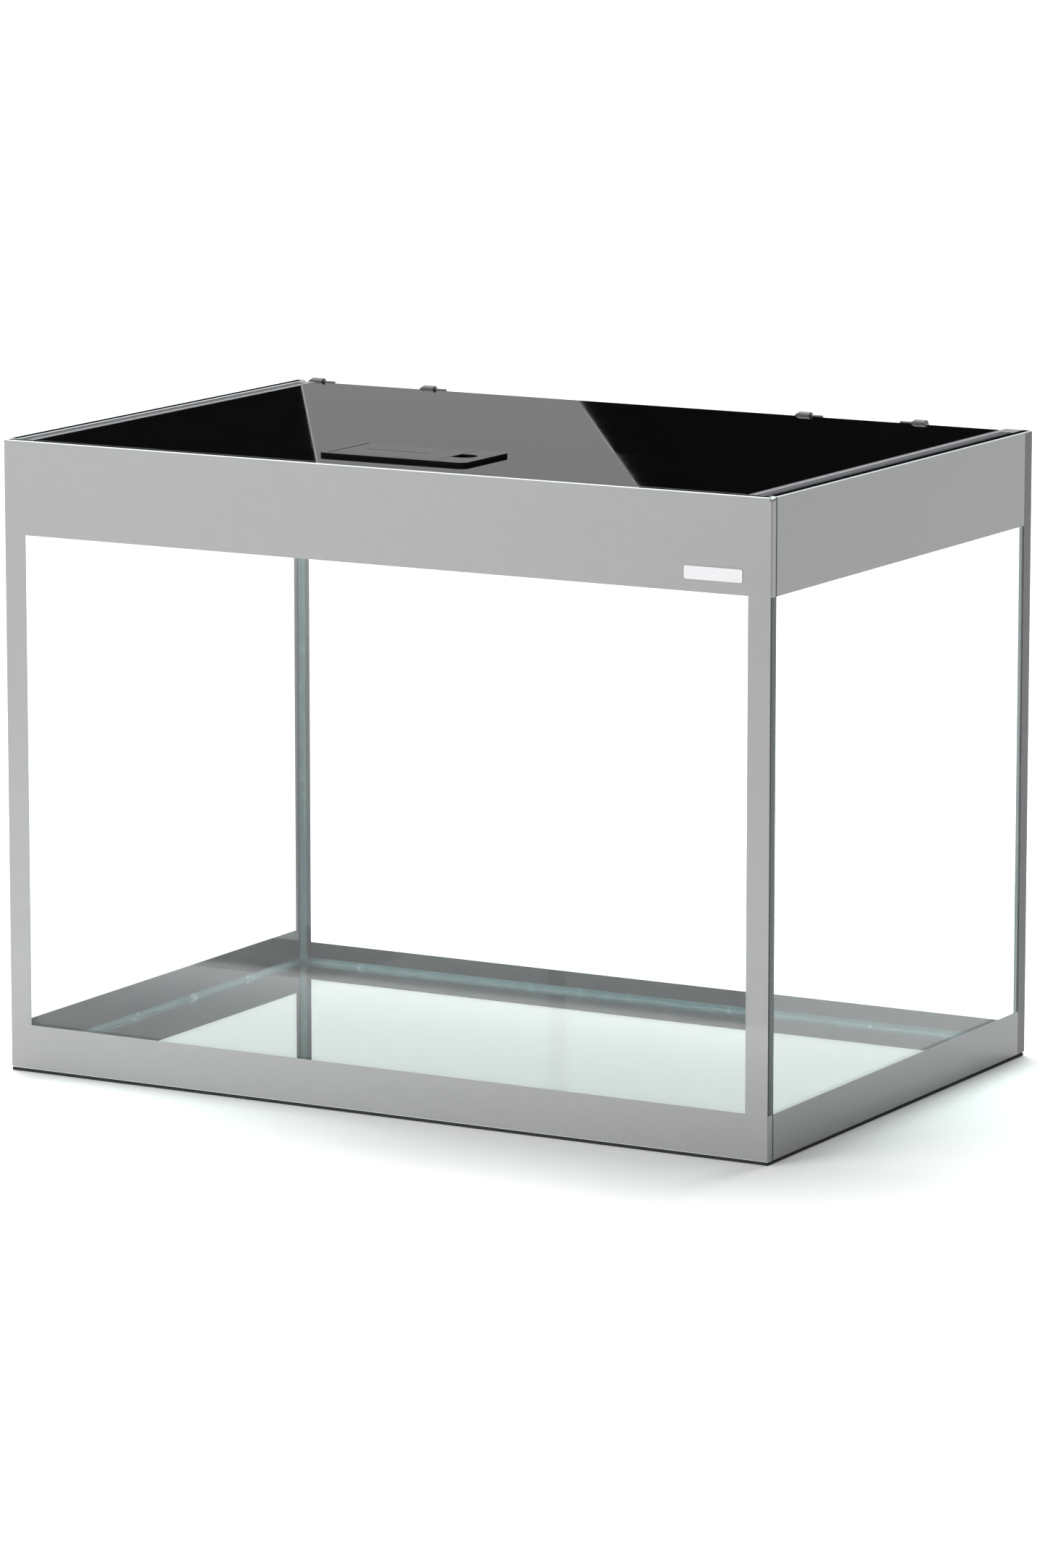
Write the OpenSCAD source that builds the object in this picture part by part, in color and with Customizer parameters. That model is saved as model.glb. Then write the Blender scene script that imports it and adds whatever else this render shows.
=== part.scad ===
// Lidded glass display tank with lacquered panes, a hinged black glass lid and a feeding hatch.
// Millimetres. Origin at the middle of the underside, +Z up, front towards -Y.

/* [Tank] */
// Outside width of the tank
tank_w = 800; // [700:10:1200]
// Outside depth of the tank
tank_d = 525; // [420:5:700]
// Height of the panes' top edges above the surface the tank stands on
tank_h = 596; // [400:1:800]
// Thickness of the four wall panes and of the braces
wall_t = 8; // [6:0.5:12]
// Thickness of the bottom pane
bottom_t = 10; // [8:0.5:15]
// Silicone between two glass edges
bond_t = 1; // [0.5:0.1:2]
// Leg of the silicone bead in an inner corner
bead_leg = 4.6; // [3:0.2:12]
// Ground arris along the panes' edges
arris = 0.8; // [0.3:0.1:1.5]
// Radius of the front pane's two top corners
front_corner_r = 4; // [2:0.5:10]
// How far the back pane's top edge lies below the others
back_drop = 13; // [11:0.5:20]

/* [Mat] */
// Thickness of the foam mat
mat_t = 3; // [2:0.5:6]
// How far the mat's edge lies inside the panes' outer faces
mat_inset = 0.5; // [0:0.5:3]

/* [Lacquer] */
// Thickness of the lacquer on a pane's outer face
lacquer_t = 0.4; // [0.2:0.1:0.8]
// Height of the lacquered band along the top
top_band = 88; // [60:1:120]
// Height of the lacquered band along the bottom of the front and sides
bottom_band = 45; // [30:1:80]
// Height of the lacquered band along the bottom of the back
back_bottom_band = 32; // [20:1:80]
// Width of the lacquered band down each side of the front
front_side_band = 23; // [10:1:50]
// Width of the dark strip round each rear vertical edge, on both faces
corner_strip_w = 15; // [8:1:30]

/* [Braces] */
// Width of the glass brace along the front and along the back
brace_w = 40; // [25:1:60]
// Height of the braces' underside below the panes' top edges
brace_drop = 58; // [46:1:80]

/* [Rails] */
// Open groove between the side pane and the rail
rail_gap = 4; // [2:0.5:8]
// Width of the rail's top face
rail_w = 15; // [12:0.5:25]
// Overall height of the rail
rail_h = 34; // [28:1:45]
// Thickness of the rail's web against the pane
rail_web = 2; // [1.5:0.5:4]
// Thickness of the arm that carries the lid
rail_arm = 3.5; // [2.5:0.5:6]
// Depth of the open groove beside the rail
rail_gap_depth = 6; // [3:0.5:8]
// Width of the ledge under the lid's edge
ledge_w = 8; // [6:0.5:14]
// Length of the lower lip that the light bar rides on
lip_w = 14; // [10:0.5:20]
// Thickness of the lower lip
lip_t = 2.5; // [1.5:0.5:4]
// Width of the fine groove along the rail's top face
flute_w = 4; // [2:0.5:6]
// Depth of the fine groove
flute_depth = 1.2; // [0.5:0.1:2]
// Length of a rail's end cap in front of the back pane
cap_l = 10; // [8:0.5:16]
// Radius of the rail's fixing screw
rail_screw_r = 1.5; // [1:0.25:2]
// Thickness of the rubber seal on the ledge
seal_t = 1.3; // [0.8:0.1:2]

/* [Lid] */
// Thickness of the lid glass
lid_t = 5; // [4:0.5:8]
// Gap between the lid and each rail, and between the lid and the front pane
lid_gap = 1; // [0.5:0.1:2]
// Gap between the closed lid and its seals
seal_gap = 0.2; // [0.1:0.1:0.5]

/* [Hinges] */
// Width of a hinge lug
lug_w = 15; // [10:0.5:24]
// Radius of a lug's round top
lug_r = 4.8; // [4:0.2:6]
// How far the lugs stand above the lid
lug_rise = 3.3; // [2:0.1:4]
// Bevel at each lug's left top corner
lug_bevel = 3; // [1:0.5:4]
// Centre of the second lug from the tank's left side
second_lug_in = 151; // [120:1:200]
// Centres of the third and fourth lugs from the tank's right side
third_lug_in = 237; // [200:1:280]
fourth_lug_in = 115; // [90:1:160]
// Width of the leaf beside each lug
leaf_w = 12; // [8:0.5:20]
// Length of a leaf under the lid glass
leaf_l = 26; // [16:1:40]
// Radius of the hinge pins
pin_r = 1.5; // [1:0.1:2]
// Radial clearance of a pin in a leaf
pin_clear = 0.05; // [0.02:0.01:0.09]

/* [Hatch] */
// Width of the hatch bezel
hatch_w = 154; // [130:1:200]
// Depth of the hatch bezel, front to back
hatch_d = 84; // [70:1:120]
// Centre of the hatch from the middle of the lid, to the right
hatch_x = -12; // [-120:1:120]
// Distance from the lid's front edge to the bezel
hatch_in = 36.5; // [20:0.5:120]
// How far the bezel stands above the lid
hatch_rise = 3; // [2.9:0.1:7]
// Corner radius of the bezel
hatch_r = 8; // [5:0.5:12]
// How far the bezel's flange laps onto the glass
flange = 4; // [3.5:0.5:8]
// Width of the fixed plate beside the flap, which holds the finger scoop
grip_w = 33; // [30:1:50]
// Bezel rim in front of and behind the flap
side_rim = 6; // [6:0.5:12]
// Thickness of the flap plate
flap_t = 2.4; // [2:0.1:3]
// Bezel rim at the flap's hinge end
hinge_rim = 8; // [8:0.5:14]
// Gap round the flap
flap_gap = 0.4; // [0.3:0.1:1]
// Radius of the flap's hinge barrel
barrel_r = 1.8; // [1.8:0.1:2.4]
// Radius of the flap's hinge pin
flap_pin_r = 0.9; // [0.6:0.1:1.2]
// Width of the finger scoop beside the flap
scoop_w = 22; // [16:1:26]
// Length of the finger scoop
scoop_l = 21; // [16:1:26]
// Thickness of the clamp ring under the lid
clamp_t = 3; // [2:0.5:5]

/* [Light bar] */
// Width of the light bar, front to back
light_w = 46; // [30:1:60]
// Height of the light bar's housing
light_h = 18; // [14:1:20]
// Distance of the light bar's centre behind the tank's middle
light_y = 20; // [-60:1:80]
// Wall of the housing
light_wall = 2; // [1.5:0.5:3]
// Length of each end cap along the bar
light_cap_l = 12; // [8:1:20]
// Number of lamps in a row
lamps = 18; // [8:1:24]

/* [Badge] */
// Width of the blank badge plate
badge_w = 58; // [30:1:80]
// Height of the badge plate
badge_h = 12; // [8:1:20]
// Thickness of the badge plate
badge_t = 0.6; // [0.4:0.1:1.2]

/* [Hidden] */

$fn = 48;
past = 1;                 // how far a cutter runs past the face it opens
touch_free = 0.4;         // gap between neighbours that are fixed but not bonded

half_w = tank_w / 2;
half_d = tank_d / 2;
out_x = half_w - lacquer_t;
in_x = out_x - wall_t;
out_y = half_d - lacquer_t;
in_y = out_y - wall_t;
floor_z = mat_t + bottom_t;
back_top = tank_h - back_drop;
window_top = tank_h - top_band;
rail_in = rail_gap + rail_w;

// hinges
hinge_leg_t = 3.2;
hinge_leg_h = 20;
hinge_foot_t = 4;
hinge_y = half_d + badge_t - lug_r;
hinge_z = tank_h + lug_rise - lug_r;
first_lug_past = 4.5;
lug_x = [rail_in - in_x - lug_w / 2 + first_lug_past, second_lug_in - half_w,
    half_w - third_lug_in, half_w - fourth_lug_in];
leaf_side = [1, 1, 1, -1];
leaf_play = 0.4;
leaf_barrel_r = 2.4;
leaf_plate_t = 2.2;

// rail, measured inwards from the pane's inner face and down from the top
ledge_z = -(lid_t + seal_gap + seal_t);
arm_z = ledge_z - rail_arm;
lip_top = lip_t - rail_h;
rail_front = -in_y + touch_free;
rail_back = in_y - cap_l - hinge_leg_t - touch_free;
bead_top = tank_h - rail_h - 2;
bead_end = in_x - bead_leg - 2;

// lid
lid_half = in_x - rail_in - lid_gap;
lid_front = -in_y + lid_gap;
lid_back = hinge_y - lug_r - 1.2;
lid_under = tank_h - lid_t;
leaf_front = lid_back - leaf_l;

// hatch, in a frame with its origin at the bezel's centre on the lid's top face
hatch_y = lid_front + hatch_in + hatch_d / 2;
flap_left = -hatch_w / 2 + hinge_rim;
flap_right = hatch_w / 2 - grip_w;
flap_d = hatch_d - 2 * side_rim;
flap_line_in = 18;
flap_line_l = flap_right - flap_left - 46;
pin_socket = 2;
flap_axis_x = flap_left + barrel_r;
flap_axis_z = hatch_rise - barrel_r;
cut_w = hatch_w - 2 * flange;
cut_d = hatch_d - 2 * flange;
cut_r = 4;
skirt_gap = 0.4;
well_left = flap_left + 8;
well_right = flap_right - 4;
well_d = flap_d - 2 * side_rim;
hatch_screw_x = [well_left + 4, well_right - 4];
hatch_screw_y = (well_d + cut_d) / 4;
hatch_screw_r = 1.4;
hatch_screw_head_r = 2.5;
hatch_screw_head_t = 1.5;
hatch_screw_in = 4;

// light bar, in a frame with its origin at the bar's centre on the rails' lower lips
light_half = in_x - lip_w - light_cap_l - 1;
light_under = -4;
light_top = light_under + light_h;
foot_play = 0.1;
foot_t = 4.5;
foot_d = 30;
diffuser_t = 1.6;
diffuser_z = light_under + 1.5;
light_roof = 2.5;
board_t = 1.6;
board_w = 30;
fin_h = 3;
fin_t = 1.5;
lamp_s = 5;
lamp_t = 1.2;
light_screw_r = 1.2;
light_screw_in = 8;
light_boss_r = 2.6;
light_boss = [light_w / 2 - 4, light_top - 4];
gland_r = 4;
gland_l = 12;

// ---- shapes -------------------------------------------------------------------------------

// box between two corners
module block(a, b) {
    translate(a) cube(b - a);
}

// square from a to b with its four corners cut at 45 degrees by c
module cut_square(a, b, c) {
    polygon([[a[0] + c, a[1]], [b[0] - c, a[1]], [b[0], a[1] + c], [b[0], b[1] - c],
        [b[0] - c, b[1]], [a[0] + c, b[1]], [a[0], b[1] - c], [a[0], a[1] + c]]);
}

// extrudes a section drawn in (y, z) along X from x0 to x1
module along_x(x0, x1) {
    translate([x0, 0, 0]) rotate([90, 0, 90]) linear_extrude(x1 - x0) children();
}

// extrudes a section drawn in (x, z) along Y from y0 to y1
module along_y(y0, y1) {
    translate([0, y1, 0]) rotate([90, 0, 0]) linear_extrude(y1 - y0) children();
}

// glass pane between two corners, with every edge ground to the arris
module pane(a, b) {
    intersection() {
        translate([0, 0, a[2]]) linear_extrude(b[2] - a[2])
            cut_square([a[0], a[1]], [b[0], b[1]], arris);
        along_x(a[0], b[0]) cut_square([a[1], a[2]], [b[1], b[2]], arris);
        along_y(a[1], b[1]) cut_square([a[0], a[2]], [b[0], b[2]], arris);
    }
}

// rectangle w by d with round corners, centred
module round_rect(w, d, r) {
    square([w - 2 * r, d], center = true);
    square([w, d - 2 * r], center = true);
    for (sx = [-1, 1], sy = [-1, 1])
        translate([sx * (w / 2 - r), sy * (d / 2 - r)]) circle(r);
}

// outline of the front pane in (x, z): square feet and round top corners, inset by e
module front_outline(e) {
    r = front_corner_r;
    translate([-half_w + e, mat_t + e]) square([tank_w - 2 * e, tank_h - mat_t - 2 * e - r]);
    translate([-half_w + e + r, mat_t + e]) square([tank_w - 2 * e - 2 * r, tank_h - mat_t - 2 * e]);
    for (s = [-1, 1]) translate([s * (half_w - e - r), tank_h - e - r]) circle(r);
}

// ---- glass --------------------------------------------------------------------------------

module base_mat() {
    color("#26282a") block([mat_inset - half_w, mat_inset - half_d, 0],
        [half_w - mat_inset, half_d - mat_inset, mat_t]);
}

module bottom_pane() {
    color("#a9c9c6", 0.5) pane([bond_t - in_x, bond_t - in_y, mat_t], [in_x - bond_t, in_y - bond_t, floor_z]);
}

module front_pane() {
    color("#c8dedb", 0.4) intersection() {
        pane([-half_w, -out_y, mat_t], [half_w, -in_y, tank_h]);
        along_y(-out_y, -in_y) front_outline(0);
    }
}

module back_pane() {
    color("#c8dedb", 0.4) pane([bond_t - in_x, in_y, mat_t], [in_x - bond_t, out_y, back_top]);
}

module side_pane(s) {
    color("#c8dedb", 0.4) pane([s > 0 ? in_x : -out_x, bond_t - in_y, mat_t],
        [s > 0 ? out_x : -in_x, out_y, tank_h]);
}

module front_brace() {
    color("#c8dedb", 0.4) pane([-bead_end, -in_y, tank_h - brace_drop],
        [bead_end, brace_w - in_y, tank_h - brace_drop + wall_t]);
}

module back_brace() {
    color("#c8dedb", 0.4) pane([-bead_end, in_y - brace_w, tank_h - brace_drop],
        [bead_end, in_y, tank_h - brace_drop + wall_t]);
}

// ---- lacquer ------------------------------------------------------------------------------

module front_lacquer() {
    window_half = half_w - front_side_band;
    color("#b9babb") along_y(-half_d, -out_y) difference() {
        front_outline(arris);
        translate([-window_half, bottom_band]) square([2 * window_half, window_top - bottom_band]);
    }
}

module back_lacquer() {
    edge = half_w - corner_strip_w;
    color("#6b6c6e") along_y(out_y, half_d) {
        translate([-edge, mat_t + arris]) square([2 * edge, back_bottom_band - mat_t - arris]);
        translate([-edge, window_top]) square([2 * edge, back_top - arris - window_top]);
    }
}

// the two bands on a side pane's outer face
module side_lacquer(s) {
    x = s > 0 ? out_x : -half_w;
    color("#8d8e90") along_x(x, x + lacquer_t) {
        translate([bond_t - in_y + arris, mat_t + arris])
            square([half_d - corner_strip_w + in_y - bond_t - arris, bottom_band - mat_t - arris]);
        translate([bond_t - in_y + arris, window_top])
            square([half_d - corner_strip_w + in_y - bond_t - arris, top_band - arris]);
    }
}

// dark strip that wraps a rear vertical edge: full height on the side, pane height on the back
module corner_strip(s) {
    color("#55565a") mirror([s > 0 ? 0 : 1, 0, 0]) {
        block([out_x, half_d - corner_strip_w, mat_t + arris], [half_w, half_d, tank_h - arris]);
        block([half_w - corner_strip_w, out_y, mat_t + arris], [out_x, half_d, back_top - arris]);
    }
}

// ---- silicone -----------------------------------------------------------------------------

// three-sided bead in the corner at p, with legs along the directions sx and sy
module bead_section(p, sx, sy) {
    polygon([p, p + [sx * bead_leg, 0], p + [0, sy * bead_leg]]);
}

// front corner: bond between the front pane's face and the side pane's edge, and the bead
module front_seam(s) {
    color("#8fb0b2") mirror([s > 0 ? 0 : 1, 0, 0]) {
        block([in_x, -in_y, mat_t], [out_x, bond_t - in_y, tank_h - arris]);
        translate([0, 0, floor_z + bead_leg]) linear_extrude(bead_top - floor_z - bead_leg)
            bead_section([in_x, -in_y], -1, 1);
    }
}

// rear corner: bond between the back pane's edge and the side pane's face, and the bead
module back_seam(s) {
    color("#8fb0b2") mirror([s > 0 ? 0 : 1, 0, 0]) {
        block([in_x - bond_t, in_y, mat_t], [in_x, out_y, back_top]);
        translate([0, 0, floor_z + bead_leg]) linear_extrude(bead_top - floor_z - bead_leg)
            bead_section([in_x, in_y], -1, -1);
    }
}

// bond round the bottom pane's edge, and the bead round the floor
module floor_seam() {
    color("#8fb0b2") {
        difference() {
            block([-in_x, -in_y, mat_t], [in_x, in_y, floor_z]);
            block([bond_t - in_x, bond_t - in_y, mat_t - past], [in_x - bond_t, in_y - bond_t, floor_z + past]);
        }
        for (s = [-1, 1]) {
            along_x(-in_x, in_x) bead_section([s * in_y, floor_z], -s, 1);
            along_y(-in_y, in_y) bead_section([s * in_x, floor_z], -s, 1);
        }
    }
}

// ---- rails --------------------------------------------------------------------------------

// section of the right rail: u inwards from the pane, z down from the top
function rail_points() = let (flute = (rail_w - flute_w) / 2 - 1.5) [
    [0, -rail_h], [lip_w, -rail_h], [lip_w, lip_top], [rail_web, lip_top], [rail_web, arm_z],
    [rail_in + ledge_w, arm_z], [rail_in + ledge_w, ledge_z], [rail_in, ledge_z], [rail_in, 0],
    [rail_gap + flute + flute_w, 0], [rail_gap + flute + flute_w, -flute_depth],
    [rail_gap + flute, -flute_depth], [rail_gap + flute, 0],
    [rail_gap, 0], [rail_gap, -rail_gap_depth], [0, -rail_gap_depth]];

rail_screw_u = rail_gap + rail_w - 4;
rail_screw_y = rail_back - 8;

// hole for the rail's fixing screw, or the screw itself
module rail_screw(s, r, top) {
    translate([s * (in_x - rail_screw_u), rail_screw_y, tank_h + arm_z]) cylinder(h = top - arm_z, r = r);
}

// right rail for s = 1; its ledge stops short of the hinge leaves
module rail(s) {
    color("#b6b8bd") difference() {
        along_y(rail_front, rail_back)
            polygon([for (p = rail_points()) [s * (in_x - p[0]), tank_h + p[1]]]);
        translate([0, 0, -past]) rail_screw(s, rail_screw_r, past + past);
        mirror([s > 0 ? 0 : 1, 0, 0])
            block([in_x - rail_in - ledge_w - past, leaf_front - 2, tank_h - rail_h - past],
                [in_x - rail_in, rail_back + past, tank_h + past]);
    }
}

module rail_seal(s) {
    color("#1f2022") mirror([s > 0 ? 0 : 1, 0, 0])
        block([in_x - rail_in - ledge_w + 1, rail_front + 2, tank_h + ledge_z],
            [in_x - rail_in - 1 - lid_gap, leaf_front - 4, tank_h + ledge_z + seal_t]);
}

// closes the rail's rear end; the right one runs on over the back pane
module rail_cap(s, reach) {
    color("#8a8b8e") mirror([s > 0 ? 0 : 1, 0, 0]) {
        block([in_x - rail_in, rail_back, tank_h - rail_h], [in_x, rail_back + cap_l, tank_h]);
        if (reach > 0)
            block([in_x - rail_in, rail_back, back_top], [in_x, out_y, tank_h]);
    }
}

module rail_screws() {
    color("#d8d9db") for (s = [-1, 1]) rail_screw(s, rail_screw_r, -0.3);
}

// ---- hinges -------------------------------------------------------------------------------

module hinge_mount(i) {
    x0 = lug_x[i] - lug_w / 2;
    x1 = lug_x[i] + lug_w / 2;
    top = hinge_z + lug_r;
    color("#2b2c2e") difference() {
        along_x(x0, x1) {
            translate([hinge_y, hinge_z]) circle(lug_r);
            translate([hinge_y - lug_r, back_top]) square([2 * lug_r, hinge_z - back_top]);
            translate([in_y - hinge_leg_t, back_top])
                square([hinge_y + lug_r - in_y + hinge_leg_t, hinge_foot_t]);
            translate([in_y - hinge_leg_t, back_top - hinge_leg_h])
                square([hinge_leg_t, hinge_leg_h + hinge_foot_t]);
        }
        along_x(x0 - past, x1 + past) translate([hinge_y, hinge_z]) circle(pin_r);
        along_y(hinge_y - 2 * lug_r, hinge_y + 2 * lug_r)
            polygon([[x0 - past, top + past], [x0 - past, top - lug_bevel], [x0, top - lug_bevel],
                [x0 + lug_bevel, top], [x0 + lug_bevel, top + past]]);
    }
}

// pins: pressed into the lugs, running in the leaves
module hinge_pins() {
    reach = lug_w / 2 + leaf_play + leaf_w + 0.5;
    color("#c9cacc") for (i = [0:3])
        along_x(min(lug_x[i] - leaf_side[i] * lug_w / 2, lug_x[i] + leaf_side[i] * reach),
            max(lug_x[i] - leaf_side[i] * lug_w / 2, lug_x[i] + leaf_side[i] * reach))
            translate([hinge_y, hinge_z]) circle(pin_r);
}

// leaf: a plate under the glass that turns up behind its edge into a barrel
module hinge_leaf(i) {
    near = lug_x[i] + leaf_side[i] * (lug_w / 2 + leaf_play);
    far = near + leaf_side[i] * leaf_w;
    under = lid_under - leaf_plate_t;
    color("#303133") difference() {
        along_x(min(near, far), max(near, far)) {
            translate([hinge_y, hinge_z]) circle(leaf_barrel_r);
            polygon([[leaf_front, under], [hinge_y - 1, under],
                [hinge_y + leaf_barrel_r * cos(20), hinge_z - leaf_barrel_r * sin(20)],
                [hinge_y - leaf_barrel_r * cos(10), hinge_z + leaf_barrel_r * sin(10)],
                [lid_back + 0.6, lid_under], [leaf_front, lid_under]]);
        }
        along_x(min(near, far) - past, max(near, far) + past)
            translate([hinge_y, hinge_z]) circle(pin_r + pin_clear);
    }
}

// ---- lid and hatch ------------------------------------------------------------------------

module lid_glass() {
    color("#08090a") difference() {
        pane([-lid_half, lid_front, lid_under], [lid_half, lid_back, tank_h]);
        translate([hatch_x, hatch_y, lid_under - past]) linear_extrude(lid_t + 2 * past)
            round_rect(cut_w, cut_d, cut_r);
    }
}

// the well under the flap, open right through the bezel and the clamp
module well(z0, z1) {
    translate([(well_left + well_right) / 2, 0, z0]) linear_extrude(z1 - z0)
        round_rect(well_right - well_left, well_d, cut_r);
}

module hatch_screw_holes(r, z0, z1) {
    for (x = hatch_screw_x, s = [-1, 1])
        translate([x, s * hatch_screw_y, z0]) cylinder(h = z1 - z0, r = r);
}

module hatch_bezel() {
    pocket_half = flap_d / 2 + flap_gap;
    recess_z = hatch_rise - flap_t - 0.2;
    color("#161718") translate([hatch_x, hatch_y, tank_h]) difference() {
        union() {
            linear_extrude(hatch_rise) round_rect(hatch_w, hatch_d, hatch_r);
            translate([0, 0, -lid_t]) linear_extrude(lid_t + past)
                round_rect(cut_w - 2 * skirt_gap, cut_d - 2 * skirt_gap, cut_r);
        }
        block([flap_left - flap_gap, -pocket_half, recess_z],
            [flap_right + flap_gap, pocket_half, hatch_rise + past]);
        along_y(-pocket_half, pocket_half)
            translate([flap_axis_x, flap_axis_z]) circle(barrel_r + flap_gap);
        along_y(-pocket_half - pin_socket, pocket_half + pin_socket)
            translate([flap_axis_x, flap_axis_z]) circle(flap_pin_r);
        well(-lid_t - past, hatch_rise + past);
        translate([flap_right, 0, hatch_rise - 3]) linear_extrude(3 + past) {
            translate([scoop_l - scoop_w / 2, 0]) circle(scoop_w / 2);
            translate([0, -scoop_w / 2]) square([scoop_l - scoop_w / 2, scoop_w]);
        }
        hatch_screw_holes(hatch_screw_r, -lid_t - past, hatch_screw_in - lid_t);
    }
}

module hatch_clamp() {
    color("#1c1d1f") translate([hatch_x, hatch_y, lid_under]) difference() {
        translate([0, 0, -clamp_t]) linear_extrude(clamp_t)
            round_rect(hatch_w - 4, hatch_d - 4, hatch_r - 2);
        well(-clamp_t - past, past);
        hatch_screw_holes(hatch_screw_r, -clamp_t - past, past);
    }
}

module hatch_screws() {
    color("#c9cacc") translate([hatch_x, hatch_y, lid_under]) {
        hatch_screw_holes(hatch_screw_r, -clamp_t, hatch_screw_in);
        hatch_screw_holes(hatch_screw_head_r, -clamp_t - hatch_screw_head_t, -clamp_t);
    }
}

module hatch_flap() {
    color("#1a1b1d") translate([hatch_x, hatch_y, tank_h]) difference() {
        union() {
            block([flap_axis_x, -flap_d / 2, hatch_rise - flap_t], [flap_right, flap_d / 2, hatch_rise]);
            along_y(-flap_d / 2, flap_d / 2) translate([flap_axis_x, flap_axis_z]) circle(barrel_r);
        }
        along_y(-flap_d / 2 - past, flap_d / 2 + past)
            translate([flap_axis_x, flap_axis_z]) circle(flap_pin_r + pin_clear);
        block([flap_left + flap_line_in, -0.5, hatch_rise - 0.4],
            [flap_left + flap_line_in + flap_line_l, 0.5, hatch_rise + past]);
    }
}

module flap_pin() {
    color("#c9cacc") translate([hatch_x, hatch_y, tank_h])
        along_y(-flap_d / 2 - flap_gap - pin_socket, flap_d / 2 + flap_gap + pin_socket)
            translate([flap_axis_x, flap_axis_z]) circle(flap_pin_r);
}

// ---- light bar ----------------------------------------------------------------------------

module on_lips() {
    translate([0, light_y, tank_h + lip_top + foot_play]) children();
}

// channel open downwards, with cooling fins on top and a groove each side for the diffuser
module light_housing() {
    h = light_w / 2;
    color("#c3c5c9") on_lips() along_x(-light_half, light_half) difference() {
        union() {
            translate([-h, light_under]) square([light_w, light_h]);
            for (k = [-3:3]) translate([k * light_w / 7 - fin_t / 2, light_top]) square([fin_t, fin_h]);
        }
        difference() {
            translate([light_wall - h, light_under - past])
                square([light_w - 2 * light_wall, light_h - light_roof + past]);
            for (t = [-1, 1]) translate([t * light_boss[0], light_boss[1]]) circle(light_boss_r);
        }
        translate([1 - h, diffuser_z - 0.1]) square([light_w - 2, diffuser_t + 0.2]);
        for (t = [-1, 1]) translate([t * light_boss[0], light_boss[1]]) circle(light_screw_r);
    }
}

module light_board() {
    top = light_top - light_roof;
    color("#e8e8e2") on_lips() block([4 - light_half, -board_w / 2, top - board_t],
        [light_half - 4, board_w / 2, top]);
}

module light_lamps() {
    top = light_top - light_roof - board_t;
    pitch = (2 * light_half - 40) / lamps;
    color("#f0e6a0") on_lips() for (k = [0:lamps - 1], s = [-1, 1])
        translate([(k - (lamps - 1) / 2) * pitch, s * 9, top - lamp_t / 2])
            cube([lamp_s, lamp_s, lamp_t], center = true);
}

module light_diffuser() {
    color("#eef2f2", 0.6) on_lips() block([0.5 - light_half, 1.2 - light_w / 2, diffuser_z],
        [light_half - 0.5, light_w / 2 - 1.2, diffuser_z + diffuser_t]);
}

// end cap with a foot that slides on the rail's lower lip
module light_cap(s) {
    far = in_x - rail_web - 1;
    color("#2a2b2d") on_lips() mirror([s > 0 ? 0 : 1, 0, 0]) difference() {
        union() {
            block([light_half, -light_w / 2 - 1, light_under - 1],
                [light_half + light_cap_l, light_w / 2 + 1, light_top + fin_h]);
            block([light_half, -foot_d / 2, 0], [far, foot_d / 2, foot_t]);
        }
        light_screw_holes(light_screw_r, light_half - past, light_half + light_cap_l + past);
    }
}

module light_screw_holes(r, x0, x1) {
    for (t = [-1, 1]) along_x(x0, x1) translate([t * light_boss[0], light_boss[1]]) circle(r);
}

module light_screws() {
    color("#c9cacc") on_lips() for (s = [0, 1]) mirror([s, 0, 0]) {
        light_screw_holes(light_screw_r, light_half - light_screw_in, light_half + light_cap_l);
        light_screw_holes(2.2, light_half + light_cap_l, light_half + light_cap_l + 0.8);
    }
}

module light_gland() {
    color("#232425") on_lips() translate([-light_half - light_cap_l / 2, 0, light_top - 7])
        along_y(light_w / 2 + 1, light_w / 2 + 1 + gland_l) circle(gland_r);
}

// ---- badge --------------------------------------------------------------------------------

module blank_badge() {
    right = half_w - front_side_band - 5.5;
    color("#d9dadc") translate([right - badge_w / 2, 0, window_top + 11 + badge_h / 2])
        along_y(-half_d - badge_t, -half_d) round_rect(badge_w, badge_h, 2);
}

base_mat();
bottom_pane();
front_pane();
back_pane();
side_pane(-1);  // left_pane
side_pane(1);  // right_pane
front_lacquer();
back_lacquer();
side_lacquer(-1);  // left_lacquer
side_lacquer(1);  // right_lacquer
corner_strip(-1);  // left_corner_strip
corner_strip(1);  // right_corner_strip
front_seam(-1);  // front_left_seam
front_seam(1);  // front_right_seam
back_seam(-1);  // back_left_seam
back_seam(1);  // back_right_seam
floor_seam();
front_brace();
back_brace();
rail(-1);  // left_rail
rail(1);  // right_rail
rail_seal(-1);  // left_rail_seal
rail_seal(1);  // right_rail_seal
rail_cap(-1, 0);  // left_rail_cap
rail_cap(1, 1);  // right_rail_cap
rail_screws();
hinge_mount(0);  // hinge_mount_1
hinge_mount(1);  // hinge_mount_2
hinge_mount(2);  // hinge_mount_3
hinge_mount(3);  // hinge_mount_4
hinge_pins();
blank_badge();
lid_glass();
hinge_leaf(0);  // hinge_leaf_1
hinge_leaf(1);  // hinge_leaf_2
hinge_leaf(2);  // hinge_leaf_3
hinge_leaf(3);  // hinge_leaf_4
hatch_bezel();
hatch_clamp();
hatch_screws();
hatch_flap();
flap_pin();
light_housing();
light_board();
light_lamps();
light_diffuser();
light_cap(-1);  // light_left_cap
light_cap(1);  // light_right_cap
light_gland();
light_screws();
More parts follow.
